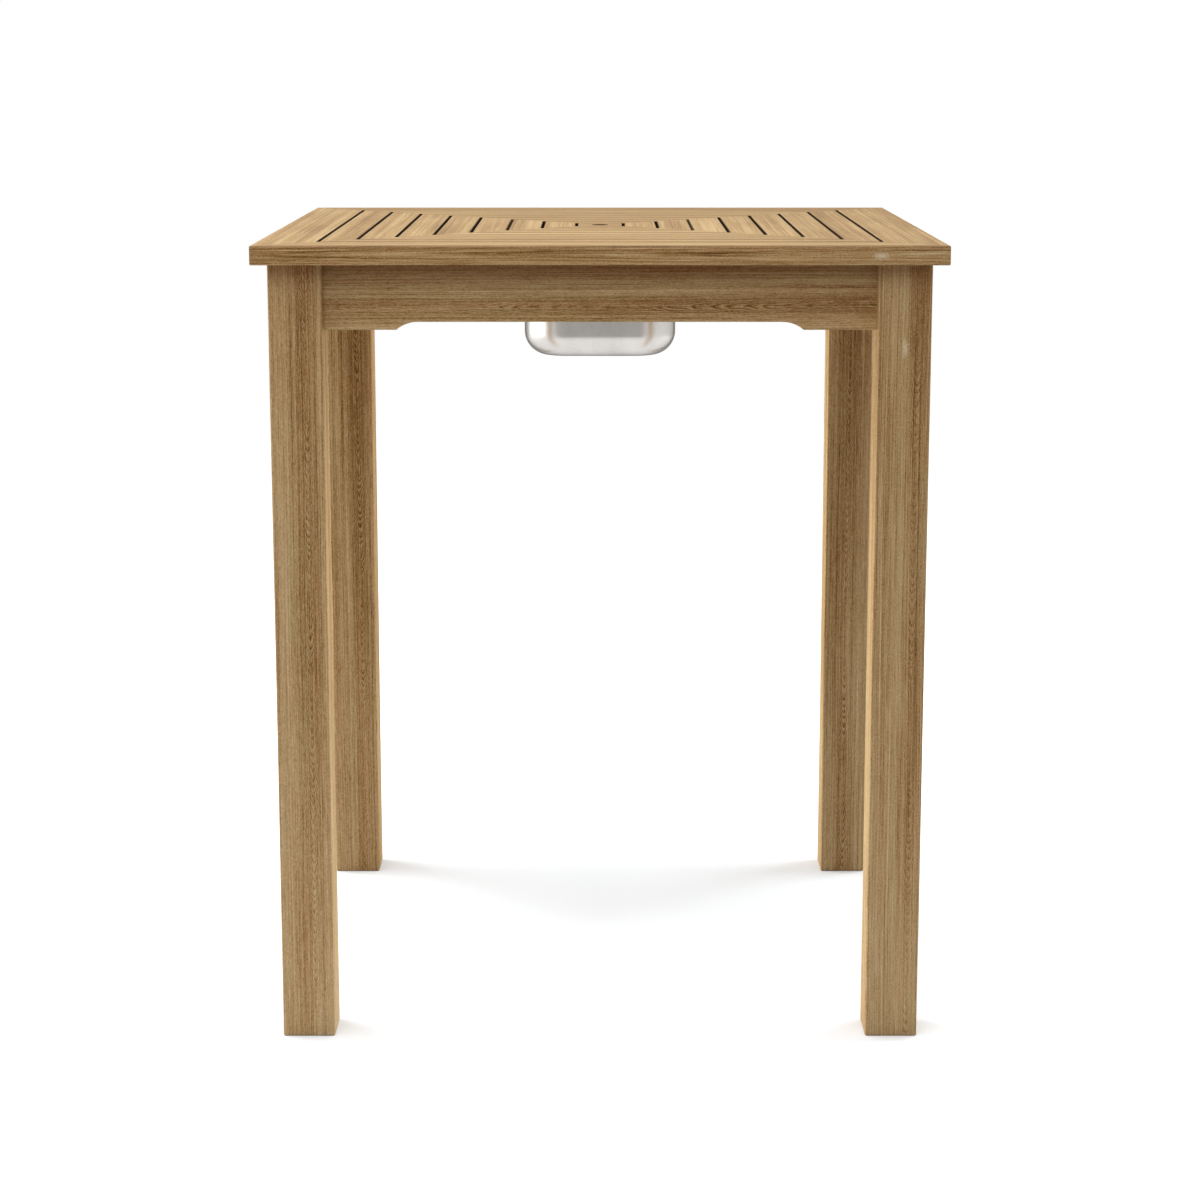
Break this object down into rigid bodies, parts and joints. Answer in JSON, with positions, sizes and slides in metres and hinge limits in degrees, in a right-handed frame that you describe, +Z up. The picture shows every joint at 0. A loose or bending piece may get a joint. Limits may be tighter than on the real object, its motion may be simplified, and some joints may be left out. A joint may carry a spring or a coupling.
{
  "type": "bar table with ice tub",
  "caption": "Square bar-height patio table of mitred wooden boards, with a drop-in steel ice tub under a flush lift-off lid.",
  "frame": {"origin": "on the floor, under the middle of the square top", "axes": "+Z up, +X to the right of the side that faces the camera, +Y away from it"},
  "size_m": [0.9, 0.9, 1.07],
  "materials": {
    "top_boards": "oiled teak, straight grain along each board",
    "frame_wood": "oiled teak, straight grain along legs and aprons",
    "inner_wood": "unfinished hardwood",
    "tub_steel": "satin drawn stainless sheet",
    "fastener_steel": "bright zinc plate",
    "insert_brass": "machined"
  },
  "bodies": {
    "table": {"leg_front_left": "frame_wood", "leg_front_right": "frame_wood", "leg_back_right": "frame_wood", "leg_back_left": "frame_wood", "apron_front": "frame_wood", "apron_right": "frame_wood", "apron_back": "frame_wood", "apron_left": "frame_wood", "corner_block_front_left": "inner_wood", "corner_block_front_right": "inner_wood", "corner_block_back_right": "inner_wood", "corner_block_back_left": "inner_wood", "rail_front": "inner_wood", "rail_right": "inner_wood", "rail_back": "inner_wood", "rail_left": "inner_wood", "diagonal_batten_front_left": "inner_wood", "diagonal_batten_front_right": "inner_wood", "diagonal_batten_back_right": "inner_wood", "diagonal_batten_back_left": "inner_wood", "border_board_front": "top_boards", "border_board_right": "top_boards", "border_board_back": "top_boards", "border_board_left": "top_boards", "ring1_board_front": "top_boards", "ring1_board_right": "top_boards", "ring1_board_back": "top_boards", "ring1_board_left": "top_boards", "ring2_board_front": "top_boards", "ring2_board_right": "top_boards", "ring2_board_back": "top_boards", "ring2_board_left": "top_boards", "ring3_board_front": "top_boards", "ring3_board_right": "top_boards", "ring3_board_back": "top_boards", "ring3_board_left": "top_boards", "ring4_board_front": "top_boards", "ring4_board_right": "top_boards", "ring4_board_back": "top_boards", "ring4_board_left": "top_boards", "ring5_board_front": "top_boards", "ring5_board_right": "top_boards", "ring5_board_back": "top_boards", "ring5_board_left": "top_boards", "board_screws": "fastener_steel", "block_screws": "fastener_steel", "leg_bolts": "fastener_steel", "leg_inserts": "insert_brass"},
    "tub": {"ice_tub": "tub_steel"},
    "lid": {"lid_ring1_board_front": "top_boards", "lid_ring1_board_right": "top_boards", "lid_ring1_board_back": "top_boards", "lid_ring1_board_left": "top_boards", "lid_ring2_board_front": "top_boards", "lid_ring2_board_right": "top_boards", "lid_ring2_board_back": "top_boards", "lid_ring2_board_left": "top_boards", "lid_middle_board": "top_boards", "lid_battens": "inner_wood", "lid_screws": "fastener_steel"}
  },
  "joints": [
    {"name": "tub_lift", "type": "slide", "parent": "table", "child": "tub", "axis": [0, 0, 1], "range_m": [0, 0.2]},
    {"name": "lid_lift", "type": "slide", "parent": "tub", "child": "lid", "axis": [0, 0, 1], "range_m": [0, 0.25]}
  ]
}
